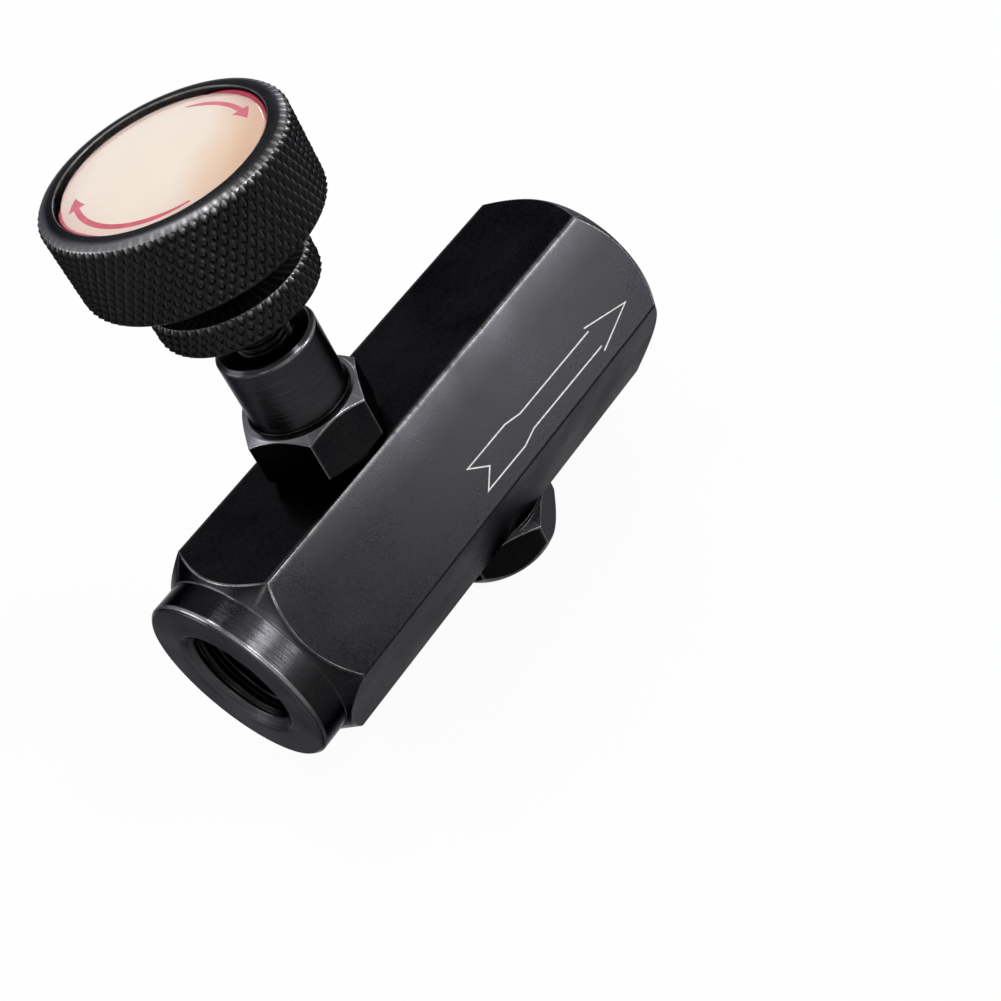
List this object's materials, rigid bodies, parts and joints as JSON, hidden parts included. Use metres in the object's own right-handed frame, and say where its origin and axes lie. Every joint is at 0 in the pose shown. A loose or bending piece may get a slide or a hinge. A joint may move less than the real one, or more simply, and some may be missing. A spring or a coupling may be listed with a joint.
{
  "type": "throttle valve",
  "caption": "Inline hydraulic throttle valve: hexagonal body with a threaded port at each end, a needle set by a knurled dial knob with a lock ring, and a spring-loaded check beside it.",
  "frame": {"origin": "centre of the inlet port's face", "axes": "+X along the flow, from the inlet to the outlet port; +Z along the needle's axis, up to the knob; +Y across"},
  "size_m": [0.0654, 0.0278, 0.0678],
  "materials": {
    "black_oxide_steel": "satin black oxide over machined steel",
    "knurled_black": "black oxide over diamond knurling",
    "stem_steel": "ground steel",
    "zinc_steel": "zinc plated",
    "seal_rubber": "matte",
    "backup_plastic": "smooth",
    "dial_face": "cream printed plate with red arrows",
    "clear_resin": "clear domed resin"
  },
  "bodies": {
    "housing": {"valve_body": "black_oxide_steel", "bonnet": "black_oxide_steel", "bonnet_o_ring": "seal_rubber", "check_spring": "zinc_steel", "check_plug": "black_oxide_steel", "plug_o_ring": "seal_rubber"},
    "stem_seal": {"stem_o_ring": "seal_rubber", "stem_backup_ring": "backup_plastic"},
    "knob": {"needle_stem": "stem_steel", "knob": "knurled_black", "knob_screw": "zinc_steel", "knob_spring_washer": "zinc_steel", "dial_plate": "dial_face", "dial_lens": "clear_resin"},
    "lock_ring": {"lock_ring": "knurled_black"},
    "poppet": {"check_poppet": "stem_steel"}
  },
  "joints": [
    {"name": "stem_travel", "type": "slide", "parent": "housing", "child": "stem_seal", "axis": [0, 0, 1], "range_m": [-0.00075, 0.003]},
    {"name": "knob_turn", "type": "hinge", "parent": "stem_seal", "child": "knob", "pos_m": [0.0242, 0, 0.045], "axis": [0, 0, 1], "range_deg": [-360, 1440]},
    {"name": "lock_ring_travel", "type": "slide", "parent": "knob", "child": "lock_ring", "axis": [0, 0, 1], "range_m": [-0.0041, 0.004]},
    {"name": "check_travel", "type": "slide", "parent": "housing", "child": "poppet", "axis": [0, 0, 1], "range_m": [-0.0018, 0], "stiffness_N_per_m": 1500, "springref_m": 0.002, "deforming": ["check_spring"]}
  ],
  "couplings": [
    {"joint": "stem_travel", "follows": "knob_turn", "m_per_rad": 0.00011937}
  ]
}
